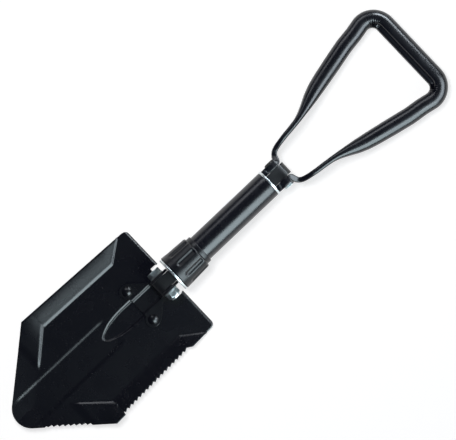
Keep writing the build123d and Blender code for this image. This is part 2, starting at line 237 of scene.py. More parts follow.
def powderCoat(name, darkHex, lightHex, roughLow, roughHigh, peelMm, peelDepthMm):
    # epoxy-polyester powder coat baked on steel: nearly black, a soft gloss broken by
    # orange peel, slightly uneven gloss, and a painted highlight that greys the sharp edges
    make = coatMake
    material, tree = newMaterial(name)
    where = addNode(tree, "ShaderNodeTexCoord").outputs["Object"]
    cloud = addNoise(tree, where, make["cloudMm"], 3.0)
    tone = addMix(tree, cloud.outputs["Fac"], fromHex(darkHex), fromHex(lightHex))
    # painted highlight: where pointiness marks a sharp edge the base colour is mixed towards grey,
    # broken up by noise, to stand in for light caught on the edges
    edge = addNode(tree, "ShaderNodeNewGeometry").outputs["Pointiness"]
    edgeHighlightMask = addNode(tree, "ShaderNodeMapRange", Value=edge, From_Min=make["edgeFrom"],
                   From_Max=make["edgeTo"], To_Min=0.0, To_Max=make["mostEdgeHighlight"])
    speck = addNoise(tree, where, make["speckMm"], 4.0)
    speckledEdgeHighlight = addNode(tree, "ShaderNodeMath", {"operation": "MULTIPLY"}, i0=edgeHighlightMask.outputs[0],
                     i1=speck.outputs["Fac"])
    edgeHighlighted = addMix(tree, speckledEdgeHighlight.outputs[0], tone.outputs[2], fromHex(make["edgeHighlightHex"]))
    rough = addRough(tree, addNoise(tree, where, make["glossMm"], 5.0), roughLow, roughHigh)
    # the real peel is about 1 mm from crest to crest, drawn coarser so that it shows
    bump = addBump(tree, addNoise(tree, where, peelMm, 2.0), 1.0, peelDepthMm)
    closeMaterial(tree, edgeHighlighted, rough, bump, IOR=make["ior"])
    return material


def mouldedNylon(name, darkHex, lightHex):
    # glass-filled nylon from a spark-eroded mould: matt, dark blue-grey, fine even grain
    make = nylonMake
    material, tree = newMaterial(name)
    where = addNode(tree, "ShaderNodeTexCoord").outputs["Object"]
    cloud = addNoise(tree, where, make["cloudMm"], 4.0)
    tone = addMix(tree, cloud.outputs["Fac"], fromHex(darkHex), fromHex(lightHex))
    rough = addRough(tree, cloud, make["roughLow"], make["roughHigh"])
    # spark grain is near 0.1 mm, drawn coarser so that it shows
    grain = addNoise(tree, where, make["grainMm"], 3.0)
    bump = addBump(tree, grain, make["grainStrength"], make["grainDepthMm"])
    closeMaterial(tree, tone, rough, bump, IOR=make["ior"])
    return material


def zincPlate(name, paleHex, coolHex, roughLow, roughHigh):
    # bright zinc electroplate with a clear blue passivate: pale, clouded, faint drag marks
    make = zincMake
    material, tree = newMaterial(name)
    where = addNode(tree, "ShaderNodeTexCoord").outputs["Object"]
    cloud = addNoise(tree, where, make["cloudMm"], 4.0)
    tone = addMix(tree, cloud.outputs["Fac"], fromHex(paleHex), fromHex(coolHex))
    stretch = addNode(tree, "ShaderNodeMapping", Vector=where, Scale=(1.0, 1.0, make["dragStretch"]))
    drag = addNoise(tree, stretch.outputs[0], make["dragMm"], 5.0)
    rough = addRough(tree, drag, roughLow, roughHigh)
    bump = addBump(tree, drag, make["dragStrength"], make["dragDepthMm"])
    closeMaterial(tree, tone, rough, bump, Metallic=1.0)
    return material


handlePaint = powderCoat("powderCoatHandle", "#0c0e19", "#11141f", 0.24, 0.31, 2.2, 0.02)
shaftPaint = powderCoat("powderCoatShaft", "#0c0e19", "#11141f", 0.24, 0.30, 2.2, 0.018)
bladePaint = powderCoat("powderCoatBlade", "#0a0c16", "#0d0f19", 0.262, 0.284, 2.4, 0.02)
bracketPaint = powderCoat("powderCoatBracket", "#0c0e15", "#11131b", 0.25, 0.32, 2.2, 0.02)
blackOxide = powderCoat("blackOxideSteel", "#0c0d10", "#131519", 0.30, 0.42, 1.4, 0.02)
collarNylon = mouldedNylon("glassFilledNylon", "#090b14", "#0d1019")
zincFastener = zincPlate("zincPlatedFasteners", "#dfe5e6", "#c4d0d2", 0.26, 0.38)
zincRing = zincPlate("zincPlatedRings", "#e2e6e7", "#cdd5d7", 0.28, 0.40)
turnedSteel = zincPlate("plainTurnedSteel", "#8d8f91", "#7b7e82", 0.30, 0.45)
print("materials made")


bladeMake = {
    "thickness": 2.0, "frontFace": -22.0, "edgeThinning": 0.62,
    "noseX": -212.0, "noseRadius": 21.0, "noseSlope": 40.2,
    "cornerX": -136.5, "cornerY": 73.6,
    "shoulderX": 6.0, "shoulderY": 68.8, "shoulderRound": 5.0, "sideEnd": 8.0,
    "notchX": 0.5, "notchHalf": 20.5,
    "flangeFoot": -25.5, "flangeBend": 3.0, "flangeDrawIn": 0.86,
    "bendRows": 10, "dropRows": 5,
    "teeth": 17, "sawStart": -29.0, "sawEnd": -123.0, "sawDepth": 2.2, "sawRecess": 1.8,
    "noseTeeth": 8, "nosePitch": 5.9, "noseSawStart": 27.0,
    "panelEdge": 51.6, "panelRear": -25.6, "panelNose": -123.0, "panelFlare": 0.024,
    "rearDiagonal": 0.74, "noseDiagonal": 0.885, "noseDiagonalHalf": 55.0,
    "panelStep": 1.3, "panelWall": 2.6, "lobeRise": 1.7, "lobeWall": 4.2, "stepLead": 0.3,
    "lobeEnd": -149.0, "lobeFade": 12.0,
    "marginSlope": 0.24, "marginFlat": 0.15, "marginCurve": 0.012, "marginTop": 4.6,
    "marginGap": 2.0, "marginEnd": -150.0, "marginRun": 34.0,
    "channelHalf": 15.8, "channelDepth": 0.6, "channelWall": 4.2, "channelFlare": 0.006,
    "channelMiddle": -77.0,
    "channelStart": -70.0, "channelStartRun": 9.0, "channelEnd": -204.0, "channelEndRun": 14.0,
    "troughHalf": 12.2, "troughTip": -88.5, "bulletStart": -48.0, "troughDepth": 2.4,
    "troughWall": 3.0, "closestRows": 0.22, "sideColumns": 42, "middleColumns": 62,
}


def troughFall(x, y, half, wall, depth):
    # distance in from a bullet-shaped mouth over the wall's width, eased, times the depth
    make = bladeMake
    length = make["bulletStart"] - make["troughTip"] + half - make["troughHalf"]
    ahead = np.minimum(x - make["bulletStart"], 0.0)
    side = np.maximum(np.abs(y), 1e-4)
    ratio = np.hypot(ahead / length, side / half)
    steep = np.hypot(ahead / length ** 2, side / half ** 2)
    return -depth * easeStep((1 - ratio) * ratio / steep / wall)


def bladeRelief(x, y):
    # height of the front face over the flat panel: the step past the panel's edge, plus
    # a rising margin that levels off, less the channel's depth, plus the trough's fall
    make = bladeMake
    side = np.abs(y)
    atNose = x < make["panelNose"]
    edge = make["panelEdge"] + (make["panelRear"] - x) * make["panelFlare"]
    rearEdge = make["panelEdge"] + (x - make["panelRear"]) * make["rearDiagonal"]
    edge = np.where(x > make["panelRear"], rearEdge, edge)
    noseEdge = make["noseDiagonalHalf"] + (x - make["panelNose"]) * make["noseDiagonal"]
    edge = np.where(atNose, noseEdge, edge)
    beyond = side - edge

    # the step: its height eased over the wall's width, faded out towards the nose
    fade = 1 - easeStep((make["lobeEnd"] - x) / make["lobeFade"])
    wallWidth = np.where(atNose, make["lobeWall"], make["panelWall"])
    step = np.where(atNose, make["lobeRise"], make["panelStep"])
    rise = step * easeStep(beyond / wallWidth + make["stepLead"]) * fade

    # the margin: slope times distance outward, slightly steeper as it goes, held by tanh
    alongMargin = easeStep((x - make["marginEnd"]) / make["marginRun"])
    flat = make["marginFlat"]
    slope = make["marginSlope"] * (flat + (1 - flat) * alongMargin)
    outward = np.maximum(beyond - make["marginGap"], 0.0)
    margin = slope * outward * (0.85 + make["marginCurve"] * outward)
    margin = make["marginTop"] * np.tanh(margin / make["marginTop"])

    # the channel: full depth inside its half width, eased at its walls and both ends
    half = make["channelHalf"] + (make["channelMiddle"] - x) * make["channelFlare"]
    sunk = 1 - easeStep((side - half + make["channelWall"] / 2) / make["channelWall"])
    sunk = sunk * easeStep((make["channelStart"] - x) / make["channelStartRun"])
    sunk = sunk * easeStep((x - make["channelEnd"]) / make["channelEndRun"])
    trough = troughFall(x, y, make["troughHalf"], make["troughWall"], make["troughDepth"])
    besideTrough = easeStep((trough + 0.5) / 0.5)
    return rise + margin - make["channelDepth"] * sunk * besideTrough + trough


def sideLine(x):
    # straight side from the blade's corner to its shoulder
    make = bladeMake
    t = (x - make["cornerX"]) / (make["sideEnd"] - make["cornerX"])
    return make["cornerY"] + t * (make["shoulderY"] - make["cornerY"])


def plainEdge(x):
    # half width: nose arc, long nose edge, straight side, rounded shoulder
    make = bladeMake
    slope = math.radians(make["noseSlope"])
    centre = make["noseX"] + make["noseRadius"]
    arcEnd = centre - make["noseRadius"] * math.sin(slope)
    arc = np.sqrt(np.maximum(make["noseRadius"] ** 2 - (x - centre) ** 2, 0.0))
    nose = make["cornerY"] + (x - make["cornerX"]) * math.tan(slope)
    width = np.where(x < arcEnd, arc, np.minimum(nose, sideLine(x)))
    corner = make["shoulderRound"]
    turn = np.clip(x - (make["shoulderX"] + make["flangeBend"] - corner), 0.0, corner)
    return width - corner + np.sqrt(corner ** 2 - turn ** 2)


def sawEdge():
    # corner points of both rows of teeth, nose to shoulder, as (x, y) on the -y side
    make = bladeMake
    pitch = (make["sawStart"] - make["sawEnd"]) / make["teeth"]
    root = make["sawStart"] - pitch * np.arange(make["teeth"] + 1)
    tip = root[:-1] - pitch * 0.75
    deep = make["sawRecess"] + make["sawDepth"]
    ends = np.array([make["sawStart"] + 6.0, make["sawEnd"] - 0.8])
    points = [
        np.stack([root, deep - sideLine(root)], -1),
        np.stack([tip, make["sawRecess"] - sideLine(tip)], -1),
        np.stack([ends, -sideLine(ends)], -1),
    ]
    # the nose teeth run along the nose edge: distance from the corner, depth inward
    slope = math.radians(make["noseSlope"])
    along = np.array([-math.cos(slope), math.sin(slope)])
    inward = np.array([math.sin(slope), math.cos(slope)])
    corner = np.array([make["cornerX"], -make["cornerY"]])
    start = make["noseSawStart"]
    near = start + make["nosePitch"] * np.arange(make["noseTeeth"])
    last = start + make["nosePitch"] * make["noseTeeth"] + 0.6
    for run, depth in (
        (near + 0.6, make["sawDepth"]),
        (near + make["nosePitch"] * 0.8, 0.3),
        (np.array([start - 2.5]), 0.0),
        (np.array([last]), make["sawDepth"] * 0.6),
        (np.array([last + 2.0]), 0.0),
    ):
        points.append(corner + run[:, None] * along + depth * inward)
    points = np.vstack(points)
    return points[np.argsort(points[:, 0])]


def bladeStations(saw):
    # x of every row: closer together at the nose, and a row at each corner of the saw
    make = bladeMake
    start, end = make["noseX"] + 0.03, make["shoulderX"]
    nose = start + np.array([0.0, 0.25, 0.7, 1.4, 2.3, 3.4, 4.6])
    body = [np.arange(-206.2, -95.0, 1.05), np.arange(-95.0, end, 0.75)]
    rear = [make["cornerX"], make["notchX"], end - 0.35, end - 0.8, end - 1.4, end]
    xs = np.unique(np.round(np.concatenate([nose, *body, saw[:, 0], rear]), 3))
    corners = np.concatenate([saw[:, 0], [make["cornerX"], make["notchX"], start, end]])
    apart = np.diff(xs, prepend=xs[0] - 1.0) >= make["closestRows"]
    return xs[apart | np.isin(xs, np.round(corners, 3))]


def rearFlange(last):
    # a quarter turn downwards from the blade's last row, then straight down to one
    # level; its ends draw in so that the shoulders stay round
    make = bladeMake
    radius, corner = make["flangeBend"], make["shoulderRound"]
    bendRows, dropRows = make["bendRows"], make["dropRows"]
    bend = np.radians(np.linspace(9.0, 90.0, bendRows))
    ahead = np.concatenate([radius * np.sin(bend), np.full(dropRows, radius)])
    drop = np.concatenate([-radius * (1 - np.cos(bend)), np.full(dropRows, -radius)])
    share = np.concatenate([np.zeros(bendRows), np.linspace(0.2, 1.0, dropRows)])
    straight = np.minimum(make["flangeFoot"] - (last[:, 2] - radius), -0.02)
    fall = drop[:, None] + share[:, None] * straight[None, :]
    out = np.repeat(ahead[:, None], len(last), 1)
    flange = last[None, :, :] + np.stack([out, np.zeros_like(out), fall], -1)
    shoulder = make["shoulderX"]
    turnIn = np.clip(ahead + shoulder - (shoulder + radius - corner), 0, corner)
    narrow = (corner - np.sqrt(corner ** 2 - turnIn ** 2)) * make["flangeDrawIn"]
    settled = corner - math.sqrt(corner ** 2 - (corner - radius) ** 2)
    pull = 1 - (narrow - settled).clip(0) / make["shoulderY"]
    flange[:, :, 1] = flange[:, :, 1] * pull[:, None]
    return flange


def makeBlade():
    # a grid of rows along the blade and columns across it, thickened along its normals
    make = bladeMake
    saw = sawEdge()
    xs = bladeStations(saw)
    high = plainEdge(xs)
    inSaw = (xs > saw[0, 0]) & (xs < saw[-1, 0])
    betweenSaws = (xs > make["cornerX"] - 20.0) & (xs < make["sawEnd"] - 0.8)
    toothed = np.interp(xs, saw[:, 0], saw[:, 1])
    low = np.where(inSaw & ~betweenSaws, toothed, -high)
    inner = np.minimum(make["notchHalf"], 0.6 * np.minimum(high, -low))
    outer = np.concatenate([[0.0], np.linspace(0.02, 0.985, make["sideColumns"]), [1.0]])
    middle = np.linspace(-1, 1, make["middleColumns"])
    lowPart = low[:, None] + (-inner - low)[:, None] * (1 - outer[::-1])[None, :]
    highPart = inner[:, None] + (high - inner)[:, None] * outer[None, :]
    ys = np.concatenate([lowPart, inner[:, None] * middle[None, 1:-1], highPart], 1)
    columns = ys.shape[1]
    middlePlane = make["frontFace"] - make["thickness"] / 2
    height = middlePlane + bladeRelief(xs[:, None], ys)
    grid = np.stack([xs[:, None] * np.ones((1, columns)), ys, height], -1)
    grid = np.concatenate([grid, rearFlange(grid[-1])])
    normal = np.cross(np.gradient(grid, axis=0), np.gradient(grid, axis=1))
    normal /= np.maximum(np.linalg.norm(normal, axis=-1, keepdims=True), 1e-9)
    rows = grid.shape[0]
    thin = np.ones((rows, columns))
    thin[:, [0, -1]] = make["edgeThinning"]
    thin[[0, -1], :] = make["edgeThinning"]
    offset = normal * (thin * make["thickness"] / 2)[..., None]
    # the notch for the bracket: the middle columns end where the rows reach it
    kept = np.ones((rows - 1, columns - 1), bool)
    notchRow = int(np.searchsorted(xs, make["notchX"] - 0.01))
    side = len(outer) - 1
    kept[notchRow:, side:columns - 1 - side] = False
    return sheetShell(grid + offset, grid - offset, kept)


finishPiece("bladeSheet", "blade", bladePaint, ["blade"], [makeBlade()], 50)


bracketMake = {
    "sheet": 2.6, "front": -37.7, "saddleHalf": 14.2, "plateHalf": 28.12,
    "rearSideways": [0, 12.2, 14.2, 26.0, 28.2], "rearAlong": [0.2, 0.2, -14.0, -27.4, -33.8],
    "rivetX": -33.9, "rivetY": 20.0, "lugRadius": 8.2, "lugBlendFrom": 10.5, "lugBlendRun": 4.5,
    "lugFrontFrom": 15.5, "lugRearFrom": 15.0, "lugOnlyFrom": 27.0,
    "troughHalf": 9.9, "troughWall": 2.6, "edgeBreak": 0.6,
    "earInner": 7.2, "earThickness": 3.0, "earReach": 12.5, "earFront": -12.0, "earRear": 8.0,
    "earBore": 4.1, "domeRadius": 5.7, "domeHeight": 3.1, "shankRadius": 2.4, "tailRadius": 3.6,
}


def makeBracketPlate():
    # for each y a run of x from the front edge to the rear edge, both outlines by y
    make = bracketMake
    wing = np.linspace(make["saddleHalf"], make["plateHalf"], 22)
    saddle = np.linspace(-make["saddleHalf"], make["saddleHalf"], 41)
    y = np.unique(np.round(np.concatenate([saddle, wing, -wing]), 4))
    side = np.abs(y)
    lug = np.sqrt(np.maximum(make["lugRadius"] ** 2 - (side - make["rivetY"]) ** 2, 0.0))
    lugFront, lugRear = make["rivetX"] - lug, make["rivetX"] + lug
    ease = easeStep((side - make["lugBlendFrom"]) / make["lugBlendRun"])
    blended = make["front"] + (np.minimum(lugFront, make["front"]) - make["front"]) * ease
    front = np.where(side < make["lugFrontFrom"], blended, lugFront)
    slant = np.interp(side, make["rearSideways"], make["rearAlong"])
    rear = np.where(side > make["lugRearFrom"], np.maximum(slant, lugRear), slant)
    rear = np.where(side > make["lugOnlyFrom"], lugRear, rear)
    runs = np.concatenate([[0.0, 0.015], np.linspace(0.05, 0.95, 34), [0.985, 1.0]])
    x = front[:, None] + (rear - front)[:, None] * runs[None, :]
    across = y[:, None] * np.ones((1, len(runs)))
    face, depth = bladeMake["frontFace"], bladeMake["troughDepth"]
    trough = troughFall(x, across, make["troughHalf"], make["troughWall"], depth)
    nest = troughFall(x, across, bladeMake["troughHalf"], bladeMake["troughWall"], depth)
    top = np.stack([x, across, face + make["sheet"] + trough], -1)
    bottom = np.stack([x, across, face + nest + 0.03], -1)
    top[[0, -1], :, 2] -= make["edgeBreak"]
    top[:, [0, -1], 2] -= make["edgeBreak"]
    return sheetShell(top, bottom, np.ones((len(y) - 1, len(runs) - 1), bool))


def makeEar(side):
    # distance from the hinge to the ear's outline by angle: round above, square below
    make = bracketMake
    steps = 120
    angle = circleAngles(steps)
    u, v = np.cos(angle), np.sin(angle)
    foot = bladeMake["frontFace"] - 0.6
    square = np.stack([
        np.where(u > 1e-6, make["earRear"] / np.maximum(u, 1e-6), 1e3),
        np.where(u < -1e-6, make["earFront"] / np.minimum(u, -1e-6), 1e3),
        np.where(v < -1e-6, foot / np.minimum(v, -1e-6), 1e3),
    ]).min(0)
    pastRound = (square > make["earReach"]) | ((v <= -0.5) & (u <= 0.55))
    reach = np.where((v < 0) & pastRound, square, make["earReach"])
    bore = np.full(steps, make["earBore"])
    low, high = make["earInner"] + 0.02, make["earInner"] + make["earThickness"]
    rings = np.array([
        np.stack([radius * u, np.full(steps, at), radius * v], -1)
        for at, radius in (
            (low, bore), (low, reach - 0.5), (low + 0.5, reach),
            (high - 0.5, reach), (high, reach - 0.5), (high, bore),
        )
    ])
    rings[:, :, 1] *= side
    return ringShell(rings)


def makeRivet(side):
    # sphere cap over the lug, with a small flat skirt, and the set tail behind the sheet
    make = bracketMake
    face = bladeMake["frontFace"]
    seat = face + make["sheet"]
    dome, shank, tail = make["domeRadius"], make["shankRadius"], make["tailRadius"]
    cap = (dome ** 2 + make["domeHeight"] ** 2) / (2 * make["domeHeight"])
    swing = np.linspace(0.02, math.asin(dome / cap), 12)
    centre = seat + make["domeHeight"] - cap
    profile = [(centre + cap * math.cos(a), cap * math.sin(a)) for a in swing]
    profile += [
        (seat + 0.02, dome), (seat + 0.02, shank), (face - 2.0, shank),
        (face - 2.05, tail), (face - 2.4, tail - 0.3), (face - 2.4, 0.05),
    ]
    steps = 48
    angle = circleAngles(steps)
    at, radius = np.array(profile).T[:, :, None]
    level = at * np.ones((1, steps))
    rings = np.stack([radius * np.cos(angle), radius * np.sin(angle), level], -1)
    rings = rings + np.array([make["rivetX"], side * make["rivetY"], 0.0])
    return ringShell(rings, joined=False)


finishPiece("hingeBracket", "blade", bracketPaint, ["hinge_bracket"],
            [makeBracketPlate(), makeEar(1), makeEar(-1)])
finishPiece("bracketRivets", "blade", bracketPaint, ["bracket_rivets"],
            [makeRivet(1), makeRivet(-1)])


handleMake = {
    "barX": 357.2, "bend": 17.5, "bendOffset": 1.0, "leanAcross": 2.6, "leanAlong": 16.6,
    "barHalfHeight": 10.2, "bendHalf": 9.4, "bendSwell": 0.9, "bendCorner": 9.3, "cornerSwell": 0.7,
    "bendRows": 34, "barRows": 30, "cheekRows": 22, "neckRows": 8, "armRows": 120,
    "neckSection": 7, "quarterSteps": 15,
    "pressDepth": 3.4, "pressAngle": 42.0, "pressWidth": 24.0,
    "creaseDepth": 1.9, "creaseAngle": 25.0, "creaseWidth": 48.0, "creasePitch": 1.15,
}


def armLine():
    # sections of one arm, hinge cheek to bend: x, y, half across, half height, corner
    x0 = hingeSpan
    return np.array([
        (x0 - 12.05, 10.9, 3.60, 0.9, 0.8), (x0 - 11.6, 10.9, 3.70, 3.4, 1.0),
        (x0 - 10.4, 10.9, 3.7, 6.2, 1.1), (x0 - 8.0, 10.9, 3.7, 9.1, 1.1),
        (x0 - 4.5, 10.9, 3.7, 11.2, 1.1), (x0, 10.9, 3.7, 12.1, 1.1),
        (x0 + 4.5, 10.9, 3.7, 11.2, 1.1), (173.4, 11.0, 3.7, 10.0, 1.2),
        (174.7, 13.3, 3.3, 8.6, 1.4), (175.9, 16.5, 3.0, 7.2, 1.6),
        (177.7, 19.1, 2.8, 6.0, 1.6), (181.2, 21.3, 2.9, 7.3, 1.8),
        (186.5, 22.9, 2.9, 10.4, 2.2), (192.5, 23.9, 2.9, 13.0, 2.5),
        (198.0, 24.8, 3.0, 13.9, 2.6), (208.0, 25.9, 3.1, 14.0, 2.7),
        (219.0, 27.4, 3.3, 13.9, 2.9), (227.0, 29.3, 4.1, 13.6, 3.8),
        (235.9, 32.0, 5.6, 12.9, 5.2), (246.4, 35.5, 7.5, 11.9, 7.2),
        (256.9, 38.6, 8.6, 11.0, 8.4), (267.4, 41.1, 9.1, 10.4, 9.0),
        (288.4, 45.8, 9.5, 10.2, 9.4), (309.4, 50.4, 9.5, 10.2, 9.4),
        (326.0, 52.6, 9.4, 10.2, 9.3),
    ])


def smoothArm():
    # the arm's sections spread evenly along it; past the cheek each is a moving average
    make = handleMake
    arm = armLine()
    steps = np.hypot(np.diff(arm[:, 0]), np.diff(arm[:, 1]))
    run = np.concatenate([[0], np.cumsum(steps)])
    neck = run[make["neckSection"]]
    fine = np.concatenate([
        np.linspace(0, 13, make["cheekRows"]),
        np.linspace(13.8, neck, make["neckRows"])[1:],
        np.linspace(neck + 0.9, run[-1], make["armRows"]),
    ])
    weights = np.array([1, 2, 3, 2, 1]) / 9
    smooth = []
    for k in range(5):
        line = np.interp(fine, run, arm[:, k])
        averaged = np.convolve(np.pad(line, 2, mode="edge"), weights, mode="valid")
        smooth.append(np.where(fine > neck - 0.5, averaged, line))
    return smooth


def makeHandle():
    # one arm, the bend and half the bar as sections along a line, then their mirror image
    make = handleMake
    x, y, across, height, corner = smoothArm()
    # the bend: an arc tangent to the arm and to the bar
    radius, bendRows = make["bend"], make["bendRows"]
    lean = math.atan2(make["leanAcross"], make["leanAlong"])
    centreX = make["barX"] - radius
    armY = y[-1] + math.tan(lean) * (centreX - x[-1])
    centreY = armY - radius * math.cos(lean) + make["bendOffset"] * math.sin(lean)
    swing = np.linspace(math.pi / 2 + lean, 0.0, bendRows)
    barY = np.linspace(centreY, 0.0, make["barRows"])[1:]
    armCount, barCount = len(x), len(barY)
    x = np.concatenate([x, centreX + radius * np.cos(swing), np.full(barCount, make["barX"])])
    y = np.concatenate([y, centreY + radius * np.sin(swing), barY])
    bar = np.concatenate([np.linspace(0, 1, bendRows), np.ones(barCount)])
    across = np.concatenate([across, make["bendHalf"] + make["bendSwell"] * bar])
    height = np.concatenate([height, np.full(len(bar), make["barHalfHeight"])])
    corner = np.concatenate([corner, make["bendCorner"] + make["cornerSwell"] * bar])
    press = np.concatenate([np.zeros(armCount), easeStep(bar * 1.6 - 0.5)])
    hump = np.sin(np.linspace(0, math.pi, bendRows)) ** 2
    crease = np.concatenate([np.zeros(armCount), hump, np.zeros(barCount)])
    heading = np.arctan2(np.gradient(y), np.gradient(x))
    heading[:make["cheekRows"]] = 0.0
    corner = np.minimum(corner, np.minimum(across, height) * 0.985)
    # ring of a rounded rectangle: four quarter arcs about the corner centres
    perQuarter = make["quarterSteps"]
    quarter = np.linspace(0, math.pi / 2, perQuarter)
    turn = np.concatenate([quarter + k * math.pi / 2 for k in range(4)])
    signU = np.repeat([1, -1, -1, 1], perQuarter)
    signV = np.repeat([1, 1, -1, -1], perQuarter)
    u = (across - corner)[:, None] * signU + corner[:, None] * np.cos(turn)
    v = (height - corner)[:, None] * signV + corner[:, None] * np.sin(turn)
    # the fold pressed along the bar's inner upper face, a bell curve by angle, and
    # creases inside each bend, a squared cosine along it
    around = np.degrees(np.arctan2(v, -u))
    gap = (around - make["pressAngle"]) / make["pressWidth"]
    dent = make["pressDepth"] * press[:, None] * np.exp(-gap ** 2 * 2.2)
    inside = np.exp(-((around - make["creaseAngle"]) / make["creaseWidth"]) ** 2)
    wave = np.cos(np.arange(len(x)) * make["creasePitch"])[:, None] ** 2
    fold = make["creaseDepth"] * crease[:, None] * inside * wave
    shrink = 1 - (dent + fold) / np.maximum(np.hypot(u, v), 1.0)
    u, v = u * shrink, v * shrink
    ringX = x[:, None] - np.sin(heading)[:, None] * u
    ringY = y[:, None] + np.cos(heading)[:, None] * u
    rings = np.stack([ringX, ringY, v], -1)
    mirrored = rings[::-1][1:] * np.array([1.0, -1.0, 1.0])
    return ringShell(np.concatenate([rings, mirrored]), joined=False)


finishPiece("gripHandle", "handle", handlePaint, ["d_handle"], [makeHandle()], 55)


collarMake = {
    "low": 15.5, "high": 53.2, "radiusLow": 20.7, "radiusHigh": 19.2, "band": 6.5, "neck": 5.0,
    "neckRadius": 16.8, "flutes": 9, "fluteDepth": 1.5, "fluteHalf": 3.5, "bore": 17.25,
    "tubeBore": 15.5, "steps": 216,
}
tubeMake = {"low": 19.85, "high": 151.55, "radius": 15.15, "wall": 1.5}
plateMake = {
    "thickness": 2.6, "slotAcross": 7.1, "slotHigh": 9.9, "steps": 144,
    "upperLow": 151.6, "upperRadius": 15.7, "lowerLow": 12.8, "lowerRadius": 20.2,
}


def makeCollar():
    # tapered body whose radius falls by an eased groove at nine places round it
    make = collarMake
    low, high, steps = make["low"], make["high"], make["steps"]
    shoulder = high - make["neck"]
    body = np.linspace(low + 1.4, shoulder - 1.6, 44)
    taper = (make["radiusHigh"] - make["radiusLow"]) * (body - low) / (shoulder - low)
    outside = [(low, make["bore"]), (low, 19.9), (low + 0.25, 20.45), (low + 0.8, make["radiusLow"])]
    outside += list(zip(body, make["radiusLow"] + taper))
    outside += [
        (shoulder - 1.1, 19.05), (shoulder - 0.6, 18.6), (shoulder - 0.15, 17.9),
        (shoulder, 17.2), (shoulder + 0.3, 16.85), (high - 0.6, make["neckRadius"]),
        (high - 0.15, 16.6), (high, 16.2), (high, make["tubeBore"]),
    ]
    inside = [
        (46.6, make["tubeBore"]), (46.4, 16.55), (44.1, 16.6), (44.0, make["bore"]),
        (30.0, make["bore"]),
    ]
    profile = np.array(outside + inside)
    rings = turned(profile, steps)
    sector = 2 * math.pi / make["flutes"]
    gap = (circleAngles(steps) + sector / 2) % sector - sector / 2
    reach = np.clip(gap * make["radiusLow"] / make["fluteHalf"], -1, 1)
    groove = np.cos(reach * math.pi / 2) ** 1.1
    x = profile[:, 0]
    window = easeStep((x - low - make["band"]) / 4.0) * easeStep((shoulder - 0.2 - x) / 3.0)
    window = np.where(np.arange(len(x)) < len(outside), window, 0.0)
    fall = make["fluteDepth"] * window[:, None] * groove[None, :]
    scale = 1 - fall / np.hypot(rings[..., 1], rings[..., 2])
    rings[..., 1] *= scale
    rings[..., 2] *= scale
    return ringShell(rings)


def makeTube():
    # plain tube with its edges broken
    low, high, outer = tubeMake["low"], tubeMake["high"], tubeMake["radius"]
    bore = outer - tubeMake["wall"]
    profile = [(low, bore), (low, outer - 0.4), (low + 0.15, outer - 0.1)]
    profile += [(x, outer) for x in np.linspace(low + 0.5, high - 0.5, 24)]
    profile += [(high - 0.15, outer - 0.1), (high, outer - 0.4), (high, bore)]
    return ringShell(turned(profile, 96))


def makePlate(low, radius):
    # disc with rounded rims and a rectangular slot for the tie bar's tongue
    make = plateMake
    high, steps = low + make["thickness"], make["steps"]
    angle = circleAngles(steps)
    u, v = np.cos(angle), np.sin(angle)
    slotU = make["slotAcross"] / np.maximum(np.abs(u), 1e-6)
    slotV = make["slotHigh"] / np.maximum(np.abs(v), 1e-6)
    slot = np.minimum(slotU, slotV)
    rings = []
    for x, size in (
        (low, slot), (low, radius - 0.6), (low + 0.2, radius - 0.18), (low + 0.6, radius),
        (high - 0.6, radius), (high - 0.2, radius - 0.18), (high, radius - 0.6), (high, slot),
    ):
        rings.append(np.stack([np.full(steps, x), size * u, size * v], -1))
    return ringShell(np.array(rings))


finishPiece("lockingCollar", "collar", collarNylon, ["locking_collar"],
            [makeCollar()], 48)
finishPiece("shaftTube", "shaft", shaftPaint, ["shaft_tube"], [makeTube()])
finishPiece("upperRing", "shaft", zincRing, ["upper_bearing_plate"],
            [makePlate(plateMake["upperLow"], plateMake["upperRadius"])], 50)
finishPiece("lowerRing", "end_plate", zincRing, ["lower_bearing_plate"],
            [makePlate(plateMake["lowerLow"], plateMake["lowerRadius"])], 50)


bladeBoltMake = {
    "rodLow": -20.2, "rodHigh": 15.5, "rodRadius": 3.95, "pitch": 1.25, "acrossFlats": 13.0,
    "headLow": 11.82, "headHigh": 17.3, "headBore": 3.9, "crownLow": 15.4, "crownHigh": 17.2,
    "crownRadius": 4.2, "nutLow": -17.6, "nutHigh": -11.82, "nutBore": 4.1,
    "noseRim": [(-17.3, 4.3), (-19.2, 4.3), (-19.8, 4.7), (-19.6, 5.3), (-19.0, 5.6), (-17.3, 5.7)],
    "washerInner": 10.22, "washerOuter": 11.78, "washerRadius": 8.0, "washerBore": 4.1,
}
handleBoltMake = {
    "rodLow": -17.5, "rodHigh": 14.8, "rodRadius": 2.95, "pitch": 1.0, "acrossFlats": 10.0,
    "headLow": 14.62, "headHigh": 16.4, "headRadius": 6.1, "nutLow": -17.4, "nutHigh": -15.42,
    "nutBore": 3.05, "washerLow": -15.4, "washerHigh": -14.62, "washerRadius": 6.1,
    "washerBore": 3.1,
}


def hexagon(acrossFlats):
    # distance to the nearest flat of a hexagon by angle
    def outline(angle):
        turn = (angle + math.pi / 6) % (math.pi / 3) - math.pi / 6
        return acrossFlats / 2 / np.cos(turn)
    return outline


def hexPiece(low, high, acrossFlats, bore, centre, chamferLow=True):
    # hexagon cut by a cone at its faces, with a bore through it
    wide = acrossFlats / 2 / math.cos(math.pi / 6) + 0.02
    slim = acrossFlats / 2 - 0.15
    cut = [(t * 0.8, slim + (wide - slim) * t) for t in np.linspace(0, 1, 6)]
    first = [(low + a, r) for a, r in cut] if chamferLow else [(low, wide)]
    second = [(high - a, r) for a, r in reversed(cut)]
    profile = [(low, bore)] + first + second + [(high, bore)]
    return ringShell(turned(profile, 144, "y", centre, hexagon(acrossFlats)))


def washerPiece(low, high, radius, bore, centre):
    rim = 0.22
    profile = [
        (low, bore), (low, radius - rim), (low + rim, radius),
        (high - rim, radius), (high, radius - rim), (high, bore),
    ]
    return ringShell(turned(profile, 72, "y", centre))


